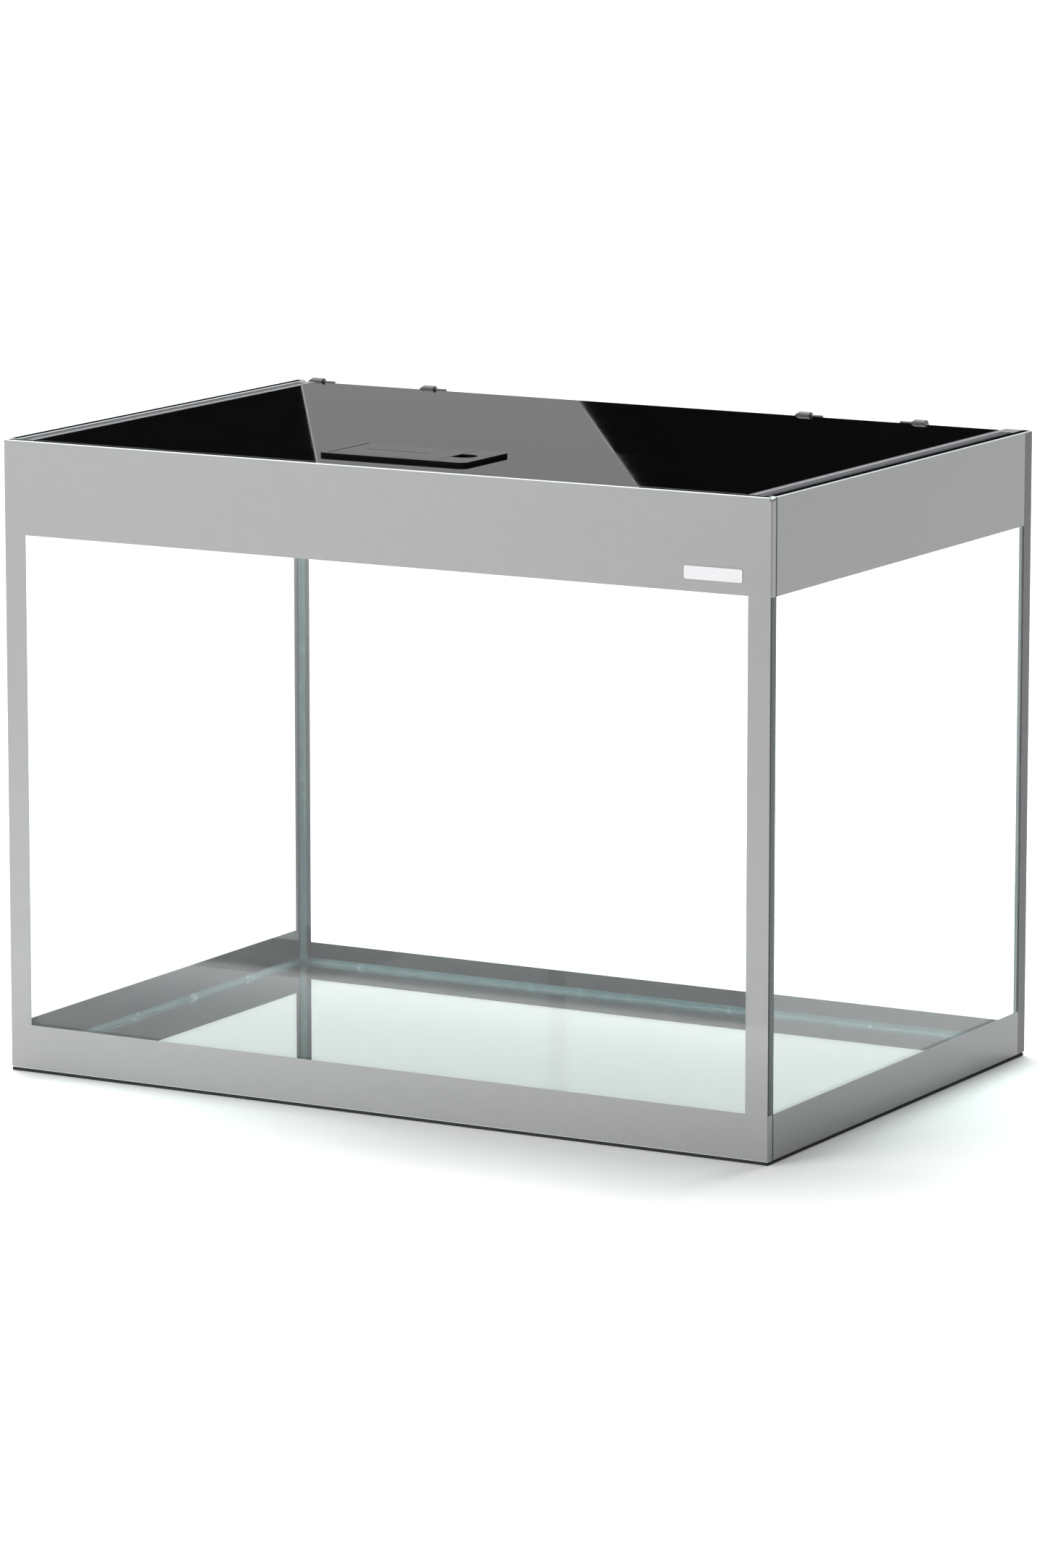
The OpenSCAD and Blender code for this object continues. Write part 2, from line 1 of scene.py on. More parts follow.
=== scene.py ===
import math
import bmesh
import bpy
import numpy as np
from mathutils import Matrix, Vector


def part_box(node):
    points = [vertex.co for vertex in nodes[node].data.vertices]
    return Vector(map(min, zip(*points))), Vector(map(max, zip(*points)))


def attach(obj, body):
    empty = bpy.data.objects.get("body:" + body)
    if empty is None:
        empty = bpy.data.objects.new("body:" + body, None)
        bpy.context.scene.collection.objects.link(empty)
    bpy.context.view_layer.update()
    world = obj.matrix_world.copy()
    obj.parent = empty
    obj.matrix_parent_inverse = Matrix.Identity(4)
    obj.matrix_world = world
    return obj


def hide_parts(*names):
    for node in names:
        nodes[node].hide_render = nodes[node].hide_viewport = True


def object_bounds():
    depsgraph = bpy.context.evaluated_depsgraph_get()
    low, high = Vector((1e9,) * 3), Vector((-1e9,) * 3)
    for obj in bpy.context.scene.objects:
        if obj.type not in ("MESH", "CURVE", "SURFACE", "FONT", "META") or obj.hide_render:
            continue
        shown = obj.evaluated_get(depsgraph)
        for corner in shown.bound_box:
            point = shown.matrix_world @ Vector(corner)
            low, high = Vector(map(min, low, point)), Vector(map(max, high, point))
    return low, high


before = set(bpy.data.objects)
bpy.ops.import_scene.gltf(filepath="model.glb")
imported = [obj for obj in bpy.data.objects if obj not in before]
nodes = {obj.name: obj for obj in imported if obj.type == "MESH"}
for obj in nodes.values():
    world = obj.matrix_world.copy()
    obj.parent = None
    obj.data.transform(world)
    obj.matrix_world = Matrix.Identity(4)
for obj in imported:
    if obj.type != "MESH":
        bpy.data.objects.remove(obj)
scene = bpy.context.scene
cad_low, cad_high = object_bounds()

# ---- Camera -------------------------------------------------------------------------------
# A long lens, a little above the lid, looking at the front right corner.
azimuth, pitch, distance = math.radians(29.475), math.radians(10.224), 6.6875
aim = Vector((-0.0208, 0.0412, 0.2584))
backwards = Vector((math.sin(azimuth) * math.cos(pitch), -math.cos(azimuth) * math.cos(pitch),
                    math.sin(pitch)))
camera = bpy.data.objects.new("camera", bpy.data.cameras.new("camera"))
camera.data.lens = 162.85
camera.data.clip_end = 200
camera.location = aim + backwards * distance
camera.rotation_euler = backwards.to_track_quat("Z", "Y").to_euler()
scene.collection.objects.link(camera)
scene.camera = camera
scene.view_settings.view_transform = "Standard"

# ---- Studio light ---------------------------------------------------------------------------
# White surroundings that fill the shadows only faintly, one wide overhead light from behind on
# the left, a soft light in front on the left, a low strip that evens out the front pane and a
# small lamp far out on the right.
seen_strength, fill_strength = 1.25, 0.24
world = bpy.data.worlds.new("studio")
scene.world = world
world.use_nodes = True
tree = world.node_tree
tree.nodes.clear()
rays = tree.nodes.new("ShaderNodeLightPath")
seen = tree.nodes.new("ShaderNodeBackground")
seen.inputs["Strength"].default_value = seen_strength
fill = tree.nodes.new("ShaderNodeBackground")
fill.inputs["Color"].default_value = (0.93, 0.96, 1.0, 1)
fill.inputs["Strength"].default_value = fill_strength
by_diffuse = tree.nodes.new("ShaderNodeMixShader")
sky = tree.nodes.new("ShaderNodeOutputWorld")
tree.links.new(rays.outputs["Is Diffuse Ray"], by_diffuse.inputs["Fac"])
tree.links.new(seen.outputs["Background"], by_diffuse.inputs[1])
tree.links.new(fill.outputs["Background"], by_diffuse.inputs[2])
tree.links.new(by_diffuse.outputs["Shader"], sky.inputs["Surface"])


def studio_lamp(name, kind, place, target, **settings):
    """A lamp at place that shines towards target. Camera rays never meet it, and only a sun is
    mirrored or seen through glass."""
    lamp = bpy.data.lights.new(name, kind)
    for key, value in settings.items():
        setattr(lamp, key, value)
    holder = bpy.data.objects.new(name, lamp)
    holder.location = place
    holder.rotation_euler = (Vector(place) - Vector(target)).to_track_quat("Z", "Y").to_euler()
    holder.visible_camera = False
    holder.visible_glossy = holder.visible_transmission = kind == "SUN"
    scene.collection.objects.link(holder)


middle = (cad_low + cad_high) / 2
low_front_band = (-0.1, -0.26, 0.06)
studio_lamp("overhead_light", "SUN", (-1.1, 1.5, 3.6), middle, energy=4.6, angle=math.radians(50))
studio_lamp("front_light", "AREA", (-2.6, -4.6, 1.9), middle, energy=200, shape="SQUARE", size=3.0)
studio_lamp("low_strip", "AREA", (-0.1, -0.78, 0.09), low_front_band, energy=3.2,
            shape="RECTANGLE", size=1.15, size_y=0.12)
studio_lamp("right_light", "AREA", (3.4, -0.9, 0.45), middle, energy=14, shape="SQUARE", size=0.6)

# ---- Floor ----------------------------------------------------------------------------------
# Seamless white studio floor, plain and matt, far wider than the tank.


def stage_finish(name, colour, strength):
    """Plain matt surface, or one that glows with the given strength."""
    material = bpy.data.materials.new(name)
    material.use_nodes = True
    shader = material.node_tree.nodes["Principled BSDF"]
    shader.inputs["Base Color"].default_value = (*colour, 1)
    shader.inputs["Roughness"].default_value = 0.9
    shader.inputs["Specular IOR Level"].default_value = 0.1
    shader.inputs["Emission Color"].default_value = (1, 1, 1, 1)
    shader.inputs["Emission Strength"].default_value = strength
    return material


def flat_sheet(name, corners, material):
    """One flat face through the given corners."""
    mesh = bpy.data.meshes.new(name)
    mesh.from_pydata([tuple(c) for c in corners], [], [tuple(range(len(corners)))])
    mesh.materials.append(material)
    sheet = bpy.data.objects.new(name, mesh)
    scene.collection.objects.link(sheet)
    return sheet


reach = 40.0
studio_white = stage_finish("studio_white", (0.86, 0.86, 0.86), 0.0)
flat_sheet("floor", [(x * reach, y * reach, 0) for x, y in ((-1, -1), (1, -1), (1, 1), (-1, 1))],
           studio_white)

# ---- Reflection card ------------------------------------------------------------------------
# A grey card with a bright rim, and a black flag behind it, hung where the lid mirrors them to
# the camera. Each corner of the card is found by turning a sight line over at the lid's top face.
# The rim is a share of the card's width, and the card runs past the lid by overshoot.
lid_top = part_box("lid_glass")[1].z
card_y, flag_gap = 2.6, 0.15
card_glow, rim_glow = 0.40, 0.9
rim, overshoot = 0.004, 0.6
card_top_left, card_low_left = (-0.398, 0.262), (-0.072, -0.247)
card_top_right, card_low_right = (-0.080, 0.255), (0.273, -0.269)


def mirrored(x, y):
    """Where the sight line to (x, y) on the lid lands on the card's upright plane."""
    point = Vector((x, y, lid_top))
    line = point - camera.location
    line.z = -line.z
    return point + line * ((card_y - y) / line.y)


def between(a, b, t):
    """Point a share t of the way from a to b."""
    return (a[0] + (b[0] - a[0]) * t, a[1] + (b[1] - a[1]) * t)


card_finish = stage_finish("card_grey", (0, 0, 0), card_glow)
rim_finish = stage_finish("card_rim", (0, 0, 0), rim_glow)
near_end, far_end = [(between(card_low_left, card_top_left, t),
                      between(card_low_right, card_top_right, t))
                     for t in (-overshoot, 1 + overshoot)]
for name, start, stop, finish_used in (("card", rim, 1 - rim, card_finish),
                                       ("card_rim_left", 0.0, rim, rim_finish),
                                       ("card_rim_right", 1 - rim, 1.0, rim_finish)):
    card = flat_sheet(name,
                      [mirrored(*between(*near_end, start)), mirrored(*between(*near_end, stop)),
                       mirrored(*between(*far_end, stop)), mirrored(*between(*far_end, start))],
                      finish_used)
    card.visible_camera = card.visible_diffuse = card.visible_shadow = False
    card.visible_transmission = False
flag_y = card_y + flag_gap
flag_low, flag_high, flag_reach = 0.75, 9, 12
flag = flat_sheet("black_flag", [(-flag_reach, flag_y, flag_low), (flag_reach, flag_y, flag_low),
                                 (flag_reach, flag_y, flag_high), (-flag_reach, flag_y, flag_high)],
                  stage_finish("flag_black", (0, 0, 0), 0.0))
flag.visible_camera = flag.visible_diffuse = flag.visible_shadow = False
flag.visible_transmission = False

# ---- Foam base mat --------------------------------------------------------------------------
# Closed-cell foam sheet under the whole tank, cut with a knife, so its edges are slightly soft.
# Its top stops air_gap short of the bottom pane.
merge_gap, touch = 2e-6, 1e-5
joined_within, sharp_from = math.radians(0.5), math.radians(35)
flat_on = 0.9999
air_gap = 0.0002


def grain_group():
    """Noise read in the piece's own metres. One pattern drives colour, roughness and height;
    its usual values are spread over the whole run from low to high."""
    group = bpy.data.node_groups.new("grain", "ShaderNodeTree")
    for name, kind, value in (("Stretch", "NodeSocketVector", (1, 1, 1)),
                              ("Scale", "NodeSocketFloat", 100.0),
                              ("Low", "NodeSocketColor", (0, 0, 0, 1)),
                              ("High", "NodeSocketColor", (1, 1, 1, 1)),
                              ("Smooth", "NodeSocketFloat", 0.3),
                              ("Rough", "NodeSocketFloat", 0.5)):
        socket = group.interface.new_socket(name, in_out="INPUT", socket_type=kind)
        socket.default_value = value
    for name, kind in (("Colour", "NodeSocketColor"), ("Roughness", "NodeSocketFloat"),
                       ("Height", "NodeSocketFloat")):
        group.interface.new_socket(name, in_out="OUTPUT", socket_type=kind)
    new, link = group.nodes.new, group.links.new
    inner, outer = new("NodeGroupInput"), new("NodeGroupOutput")
    place = new("ShaderNodeTexCoord")
    stretched = new("ShaderNodeVectorMath")
    stretched.operation = "MULTIPLY"
    noise = new("ShaderNodeTexNoise")
    noise.inputs["Detail"].default_value = 3.0
    spread = new("ShaderNodeMapRange")
    spread.inputs["From Min"].default_value = 0.3
    spread.inputs["From Max"].default_value = 0.7
    tint = new("ShaderNodeMix")
    tint.data_type = "RGBA"
    polish = new("ShaderNodeMapRange")
    link(place.outputs["Object"], stretched.inputs[0])
    link(inner.outputs["Stretch"], stretched.inputs[1])
    link(stretched.outputs["Vector"], noise.inputs["Vector"])
    link(inner.outputs["Scale"], noise.inputs["Scale"])
    link(noise.outputs["Fac"], spread.inputs["Value"])
    link(spread.outputs["Result"], tint.inputs["Factor"])
    link(inner.outputs["Low"], tint.inputs["A"])
    link(inner.outputs["High"], tint.inputs["B"])
    link(spread.outputs["Result"], polish.inputs["Value"])
    link(inner.outputs["Smooth"], polish.inputs["To Min"])
    link(inner.outputs["Rough"], polish.inputs["To Max"])
    link(tint.outputs["Result"], outer.inputs["Colour"])
    link(polish.outputs["Result"], outer.inputs["Roughness"])
    link(spread.outputs["Result"], outer.inputs["Height"])
    return group


grain = grain_group()


def finish(name, low, high, smooth, rough, scale, stretch=(1, 1, 1), relief=0.0, **shader_values):
    """Material whose colour runs low to high and roughness smooth to rough with the grain,
    raised by relief metres. shader_values are set on the shader's own sockets."""
    material = bpy.data.materials.new(name)
    material.use_nodes = True
    tree = material.node_tree
    shader = tree.nodes["Principled BSDF"]
    pattern = tree.nodes.new("ShaderNodeGroup")
    pattern.node_tree = grain
    pattern.inputs["Stretch"].default_value = stretch
    pattern.inputs["Scale"].default_value = scale
    pattern.inputs["Low"].default_value = (*low, 1)
    pattern.inputs["High"].default_value = (*high, 1)
    pattern.inputs["Smooth"].default_value = smooth
    pattern.inputs["Rough"].default_value = rough
    tree.links.new(pattern.outputs["Colour"], shader.inputs["Base Color"])
    tree.links.new(pattern.outputs["Roughness"], shader.inputs["Roughness"])
    if relief:
        bump = tree.nodes.new("ShaderNodeBump")
        bump.inputs["Strength"].default_value = 1.0
        bump.inputs["Distance"].default_value = relief
        tree.links.new(pattern.outputs["Height"], bump.inputs["Height"])
        tree.links.new(bump.outputs["Normal"], shader.inputs["Normal"])
    for key, value in shader_values.items():
        shader.inputs[key.replace("_", " ")].default_value = value
    return material


def per_face(mesh, kind):
    """Each face's normal or center as a row of one array."""
    rows = np.empty(len(mesh.polygons) * 3)
    mesh.polygons.foreach_get(kind, rows)
    return rows.reshape(-1, 3)


def set_looks(mesh, looks):
    """Gives each face the material with its number in looks."""
    mesh.polygons.foreach_set("material_index", looks.astype(np.int32))


def cad_copy(node, body, materials, bevel=0.0, segments=2, cuts=()):
    """The node's mesh with its doubles merged and flat faces joined, its sharp edges rounded by
    bevel metres. Each of the cuts is a point on one axis, where the faces are split square to
    that axis. It stands for the node."""
    mesh = nodes[node].data.copy()
    mesh.materials.clear()
    for material in materials:
        mesh.materials.append(material)
    work = bmesh.new()
    work.from_mesh(mesh)
    bmesh.ops.remove_doubles(work, verts=work.verts, dist=merge_gap)
    bmesh.ops.dissolve_limit(work, angle_limit=joined_within, verts=work.verts, edges=work.edges)
    for cut in cuts:
        bmesh.ops.bisect_plane(work, geom=work.verts[:] + work.edges[:] + work.faces[:],
                               plane_co=cut, plane_no=[float(part != 0) for part in cut])
    for face in work.faces:
        face.material_index = 0
    work.to_mesh(mesh)
    work.free()
    mesh.set_sharp_from_angle(angle=sharp_from)
    mesh.polygons.foreach_set("use_smooth", np.abs(per_face(mesh, "normal")).max(1) < flat_on)
    piece = bpy.data.objects.new(node + "_finished", mesh)
    scene.collection.objects.link(piece)
    if bevel:
        rounding = piece.modifiers.new("rounding", "BEVEL")
        rounding.width = bevel
        rounding.segments = segments
        rounding.limit_method = "ANGLE"
        rounding.angle_limit = sharp_from
    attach(piece, body)
    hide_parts(node)
    return piece


def moved_points(piece, rule):
    """Passes all the mesh's points through rule as one array."""
    mesh = piece.data
    points = np.empty(len(mesh.vertices) * 3)
    mesh.vertices.foreach_get("co", points)
    mesh.vertices.foreach_set("co", rule(points.reshape(-1, 3)).ravel())
    mesh.update()


foam = finish("foam", (0.012, 0.012, 0.013), (0.03, 0.03, 0.032), 0.8, 0.95, 900, relief=0.0002,
              Specular_IOR_Level=0.2)
mat = cad_copy("base_mat", "tank", [foam], bevel=0.0008)
mat_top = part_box("base_mat")[1].z


def lowered_top(p):
    """The mat's points, those of its top face let down by air_gap."""
    lowered = p.copy()
    lowered[:, 2] -= air_gap * (p[:, 2] > mat_top - touch)
    return lowered


moved_points(mat, lowered_top)

# ---- Glass panes and braces -----------------------------------------------------------------
# 8 mm and 10 mm float glass with polished faces and edges. The arrises along the top and bottom
# are ground, and their pale colour is also a painted highlight for the bright lines along those
# edges. The upright ones are painted near-black, a painted shade. The bottom pane mirrors more
# strongly than plain glass does, through a higher index and a coat.
wiped = 0.002
clear, ground_and_highlight, coated, dark = range(4)
square_on, upright, sideways = 0.97, 0.1, 0.6


def clear_glass(name, tint, smooth=0.0, rough=wiped):
    """Clear or frosted glass that lets lamps through."""
    material = finish(name, tint, tint, smooth, rough, 9, Transmission_Weight=1.0, IOR=1.5)
    tree = material.node_tree
    shader = tree.nodes["Principled BSDF"]
    for link in list(shader.inputs["Base Color"].links):
        tree.links.remove(link)
    shader.inputs["Base Color"].default_value = (*tint, 1)
    path = tree.nodes.new("ShaderNodeLightPath")
    through = tree.nodes.new("ShaderNodeBsdfTransparent")
    through.inputs["Color"].default_value = (*tint, 1)
    either = tree.nodes.new("ShaderNodeMixShader")
    tree.links.new(path.outputs["Is Shadow Ray"], either.inputs["Fac"])
    tree.links.new(shader.outputs["BSDF"], either.inputs[1])
    tree.links.new(through.outputs["BSDF"], either.inputs[2])
    tree.links.new(either.outputs["Shader"], tree.nodes["Material Output"].inputs["Surface"])
    return material


float_glass = clear_glass("float_glass", (0.93, 0.985, 0.97))
floor_glass = clear_glass("floor_glass", (0.95, 0.97, 0.96))
floor_shader = floor_glass.node_tree.nodes["Principled BSDF"]
for socket, value in (("IOR", 2.0), ("Coat Weight", 1.0), ("Coat IOR", 1.8),
                      ("Coat Roughness", 0.0)):
    floor_shader.inputs[socket].default_value = value
# Pale colour of the top and bottom arrises: the ground edge's own tone and also a painted highlight
# for their bright lines.
ground_arris_and_highlight = finish("ground_arris_and_highlight", (0.66, 0.74, 0.73), (0.8, 0.86, 0.85), 0.45, 0.6, 1500,
                      relief=0.00003)
# Near-black colour of the upright arrises and of the front pane's ends between the bands: painted
# shade.
painted_shade_edge = finish("painted_shade_edge", (0.008, 0.016, 0.015), (0.014, 0.026, 0.024), 0.2, 0.3, 400)
lacquer = finish("lacquer", (0.205, 0.206, 0.207), (0.211, 0.212, 0.213), 0.30, 0.36, 60,
                 Specular_IOR_Level=0.2, Coat_Weight=0.7, Coat_Roughness=0.04)
side_bands = nodes["right_lacquer"].data
band_points = np.empty(len(side_bands.vertices) * 3)
side_bands.vertices.foreach_get("co", band_points)
low_band_top, high_band_foot = np.unique(np.round(band_points.reshape(-1, 3)[:, 2], 5))[1:3]


def pane(node):
    """Copy of a pane whose square faces are clear, and whose slanting ones, the arrises, are pale
    from grinding and a painted highlight or, where upright, painted dark as shade. The front pane's
    upright ends are lacquered beside the side panes' bands and painted dark as shade between them."""
    ends = node == "front_pane"
    body_glass = floor_glass if node == "bottom_pane" else float_glass
    piece = cad_copy(node, "tank", [body_glass, ground_arris_and_highlight, lacquer, painted_shade_edge],
                     cuts=[(0, 0, low_band_top), (0, 0, high_band_foot)] if ends else ())
    mesh = piece.data
    normals = np.abs(per_face(mesh, "normal"))
    # Square faces stay clear; slanting arrises get the pale colour, partly a painted highlight, or,
    # where upright, the near-black painted shade.
    looks = np.where(normals.max(1) > square_on, clear,
                     np.where(normals[:, 2] < upright, dark, ground_and_highlight))
    if ends:
        heights = per_face(mesh, "center")[:, 2]
        end = (normals[:, 0] > sideways) & (normals[:, 2] < sideways)
        between_bands = (heights > low_band_top) & (heights < high_band_foot)
        looks[end] = np.where(between_bands[end], dark, coated)
    set_looks(mesh, looks)
    mesh.polygons.foreach_set("use_smooth", np.zeros(len(mesh.polygons), bool))


for node in ("bottom_pane", "front_pane", "back_pane", "left_pane", "right_pane",
             "front_brace", "back_brace"):
    pane(node)

# ---- Lacquer bands --------------------------------------------------------------------------
# Light grey two-part lacquer sprayed on the panes, so each skin sinks a hair into the glass it
# is keyed to. The rear corners have a darker strip round the edge.
key_depth = 0.00006
out_x, out_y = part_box("right_pane")[1].x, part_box("back_pane")[1].y
dark_lacquer = finish("dark_lacquer", (0.03, 0.03, 0.032), (0.036, 0.036, 0.038), 0.3, 0.4, 60,
                      Specular_IOR_Level=0.2, Coat_Weight=0.5, Coat_Roughness=0.08)
# The primer seen from inside the tank is far darker than the lacquer: partly its own colour, partly
# painted shade for the shaded inside.
primer_and_shade = finish("lacquer_primer_and_shade", (0.024, 0.023, 0.026), (0.030, 0.029, 0.032), 0.5, 0.6, 60,
                Specular_IOR_Level=0.1)


def keyed(p):
    """Points on a pane's outer face go key_depth into it."""
    sunk = p.copy()
    side = np.abs(np.abs(p[:, 0]) - out_x) < touch
    face = np.abs(np.abs(p[:, 1]) - out_y) < touch
    sunk[:, 0] -= np.sign(p[:, 0]) * key_depth * side
    sunk[:, 1] -= np.sign(p[:, 1]) * key_depth * face
    return sunk


def lacquer_skin(node, colour_coat):
    """Skin keyed to its pane, whose face on the glass shows a darker undercoat, partly its own
    colour and partly painted shade for the tank's shaded inside.
    """
    piece = cad_copy(node, "tank", [colour_coat, primer_and_shade])
    moved_points(piece, keyed)
    middles = np.abs(per_face(piece.data, "center"))
    set_looks(piece.data, (np.abs(middles[:, 0] - out_x + key_depth) < touch)
              | (np.abs(middles[:, 1] - out_y + key_depth) < touch))


for node in ("front_lacquer", "back_lacquer", "left_lacquer", "right_lacquer"):
    lacquer_skin(node, lacquer)
for node in ("left_corner_strip", "right_corner_strip"):
    lacquer_skin(node, dark_lacquer)

# ---- Silicone seams -------------------------------------------------------------------------
# Clear silicone with the glass's sea-green cast: a 1 mm bond between the panes, and a bead
# tooled hollow with a round stick along every inner corner. The bond ends bond_short inside the
# panes' outer faces, and the seams sink into the glass by embed.
hollowness = 0.55
fillet_rise, fillet_growth, fillet_rings = 0.012, 0.9, 12
rail_clearance, bond_short = 0.002, 0.0001
rings_sharp_from = math.radians(40)
silicone = finish("silicone", (0.055, 0.098, 0.106), (0.075, 0.125, 0.134), 0.14, 0.3, 60,
                  relief=0.00004, IOR=1.41, Coat_Weight=0.4, Coat_Roughness=0.08)
in_x, in_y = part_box("right_pane")[0].x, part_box("back_pane")[0].y
floor_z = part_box("bottom_pane")[1].z
bead_leg = in_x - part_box("back_right_seam")[0].x
bond = in_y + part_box("bottom_pane")[0].y
embed = 0.00005


def bead_profile(steps=10):
    """Section of a bead in its corner: two legs that sink into the glass by embed, and between
    their ends a hollow arc, the quarter of a circle drawn towards the corner and flattened by
    nearly half."""
    turn = np.linspace(0, math.pi / 2, steps)
    arc = bead_leg * (1 - np.stack([np.sin(turn), np.cos(turn)], 1))
    straight = np.stack([bead_leg * (1 - turn / (math.pi / 2)), bead_leg * turn / (math.pi / 2)], 1)
    hollow = hollowness * arc + (1 - hollowness) * straight
    return np.concatenate([[[bead_leg, -embed]], hollow, [[-embed, bead_leg], [-embed, -embed]]])


def rings_mesh(name, rings, closed, material, body):
    """Skin over a row of rings with the same number of points each. closed joins the last ring
    to the first; otherwise both ends are capped."""
    count, size = rings.shape[:2]
    steps = count if closed else count - 1
    k, j = np.meshgrid(np.arange(steps), np.arange(size), indexing="ij")
    k2, j2 = (k + 1) % count, (j + 1) % size
    quads = np.stack([k * size + j, k * size + j2, k2 * size + j2, k2 * size + j], -1)
    faces = quads.reshape(-1, 4).tolist()
    if not closed:
        faces += [list(range(size))[::-1], list(range((count - 1) * size, count * size))]
    mesh = bpy.data.meshes.new(name)
    mesh.from_pydata(rings.reshape(-1, 3).tolist(), [], faces)
    work = bmesh.new()
    work.from_mesh(mesh)
    bmesh.ops.recalc_face_normals(work, faces=work.faces)
    for face in work.faces:
        face.smooth = True
    work.to_mesh(mesh)
    work.free()
    mesh.set_sharp_from_angle(angle=rings_sharp_from)
    mesh.materials.append(material)
    piece = bpy.data.objects.new(name, mesh)
    scene.collection.objects.link(piece)
    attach(piece, body)
    return piece


profile = bead_profile()


def corner_seam(node, sx, sy):
    """Upright bead in the inner corner on the sides sx and sy. Its section grows over the last
    centimetre above the floor into a small fillet."""
    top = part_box(node if sy > 0 else "back_pane")[1].z
    top = min(top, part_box("left_rail")[0].z - rail_clearance)
    rise = np.concatenate([np.linspace(0, 1, fillet_rings) ** 1.5 * fillet_rise, [top - floor_z]])
    growth = 1 + fillet_growth * np.clip(1 - rise / fillet_rise, 0, 1) ** 2
    rings = np.empty((len(rise), len(profile), 3))
    rings[..., 0] = sx * (in_x - profile[None, :, 0] * growth[:, None])
    rings[..., 1] = sy * (in_y - profile[None, :, 1] * growth[:, None])
    rings[..., 2] = (floor_z + rise)[:, None]
    return rings_mesh(node + "_bead", rings, False, silicone, "tank")


def bond_strip(name, low, high):
    """Silicone squeezed flat in a joint: a straight bar between two corners."""
    x0, y0, z0 = low
    x1, y1, z1 = high
    section = np.array([[x0, y0], [x1, y0], [x1, y1], [x0, y1]])
    rings = np.empty((2, 4, 3))
    rings[:, :, :2] = section
    rings[0, :, 2], rings[1, :, 2] = z0, z1
    return rings_mesh(name, rings, False, silicone, "tank")


for side, sx in (("left", -1), ("right", 1)):
    for end, sy in (("front", -1), ("back", 1)):
        node = f"{end}_{side}_seam"
        bead = corner_seam(node, sx, sy)
        low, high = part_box(node)
        if sy < 0:
            xs = sorted((sx * in_x, sx * (out_x - bond_short)))
            strip = bond_strip(node + "_bond", (xs[0], -in_y - embed, low.z),
                               (xs[1], bond - in_y + embed, high.z))
        else:
            xs = sorted((sx * (in_x - bond - embed), sx * (in_x + embed)))
            strip = bond_strip(node + "_bond", (xs[0], in_y, low.z),
                               (xs[1], out_y - bond_short, high.z))
        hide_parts(node)
        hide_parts(node)

corners = np.array([(-1, -1), (1, -1), (1, 1), (-1, 1)])
floor_rings = np.empty((4, len(profile), 3))
floor_rings[..., 0] = corners[:, :1] * (in_x - profile[:, 0])
floor_rings[..., 1] = corners[:, 1:] * (in_y - profile[:, 0])
floor_rings[..., 2] = floor_z + profile[:, 1]
floor_bead = rings_mesh("floor_seam_bead", floor_rings, True, silicone, "tank")
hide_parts("floor_seam")
edge = np.array([(-embed, 0), (bond + embed, 0), (bond + embed, 1), (-embed, 1)])
bond_rings = np.empty((4, 4, 3))
bond_rings[..., 0] = corners[:, :1] * (in_x - edge[:, 0])
bond_rings[..., 1] = corners[:, 1:] * (in_y - edge[:, 0])
bond_rings[..., 2] = np.array([mat_top, floor_z])[edge[:, 1].astype(int)]
floor_bond = rings_mesh("floor_seam_bond", bond_rings, True, silicone, "tank")
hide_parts("floor_seam")

# ---- Side rails -----------------------------------------------------------------------------
# Extruded aluminium, anodised satin silver. The die leaves fine lines along the length. A dark
# strip is coloured along the top between strip_from and strip_to from the rail's outer side.
anodised = finish("anodised_aluminium", (0.38, 0.38, 0.40), (0.41, 0.41, 0.43), 0.26, 0.32, 900,
                  stretch=(1, 0.004, 1), Metallic=0.45)
dark_strip = finish("rail_dark_strip", (0.008, 0.008, 0.009), (0.012, 0.012, 0.013), 0.5, 0.6, 700)
strip_from, strip_to = 0.0025, 0.0075
for node, side in (("left_rail", -1), ("right_rail", 1)):
    low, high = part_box(node)
    edges = [side * (max(abs(low.x), abs(high.x)) - inset) for inset in (strip_from, strip_to)]
    rail = cad_copy(node, "tank", [anodised, dark_strip], bevel=0.0005, segments=3,
                    cuts=[(x, 0, 0) for x in edges]).data
    middles = per_face(rail, "center")
    # Top faces between the two cuts take the dark strip's colour.
    set_looks(rail, (middles[:, 2] > high.z - touch) & (middles[:, 0] > min(edges))
              & (middles[:, 0] < max(edges)))

# ---- Rail seals and end caps ------------------------------------------------------------------
# Black rubber strips for the lid to rest on, and moulded grey plastic caps over the sawn ends.
rubber = finish("seal_rubber", (0.012, 0.012, 0.012), (0.022, 0.022, 0.023), 0.55, 0.7, 500,
                stretch=(1, 0.05, 1), relief=0.00003)
grey_plastic = finish("grey_plastic", (0.17, 0.17, 0.175), (0.2, 0.2, 0.205), 0.4, 0.55, 2200,
                      relief=0.00002)
for node in ("left_rail_seal", "right_rail_seal"):
    cad_copy(node, "tank", [rubber], bevel=0.0004, segments=3)
for node in ("left_rail_cap", "right_rail_cap"):
    cad_copy(node, "tank", [grey_plastic], bevel=0.0005, segments=3)

# ---- Screws ---------------------------------------------------------------------------------
# Turned stainless screws with a hexagon socket, each in its CAD screw's place. The sizes here
# are the ones that the nodes' boxes don't give, in metres or as a share of the head.
screw_steps = 36
rail_head_h, rail_shank_share = 0.0012, 0.9
hatch_head_r, hatch_head_h, hatch_shank_r = 0.0025, 0.0015, 0.0014
light_head_h, light_shank_r, light_length = 0.0008, 0.0012, 0.0208
stainless = finish("stainless", (0.42, 0.42, 0.43), (0.6, 0.6, 0.61), 0.2, 0.34, 3000, Metallic=1.0)


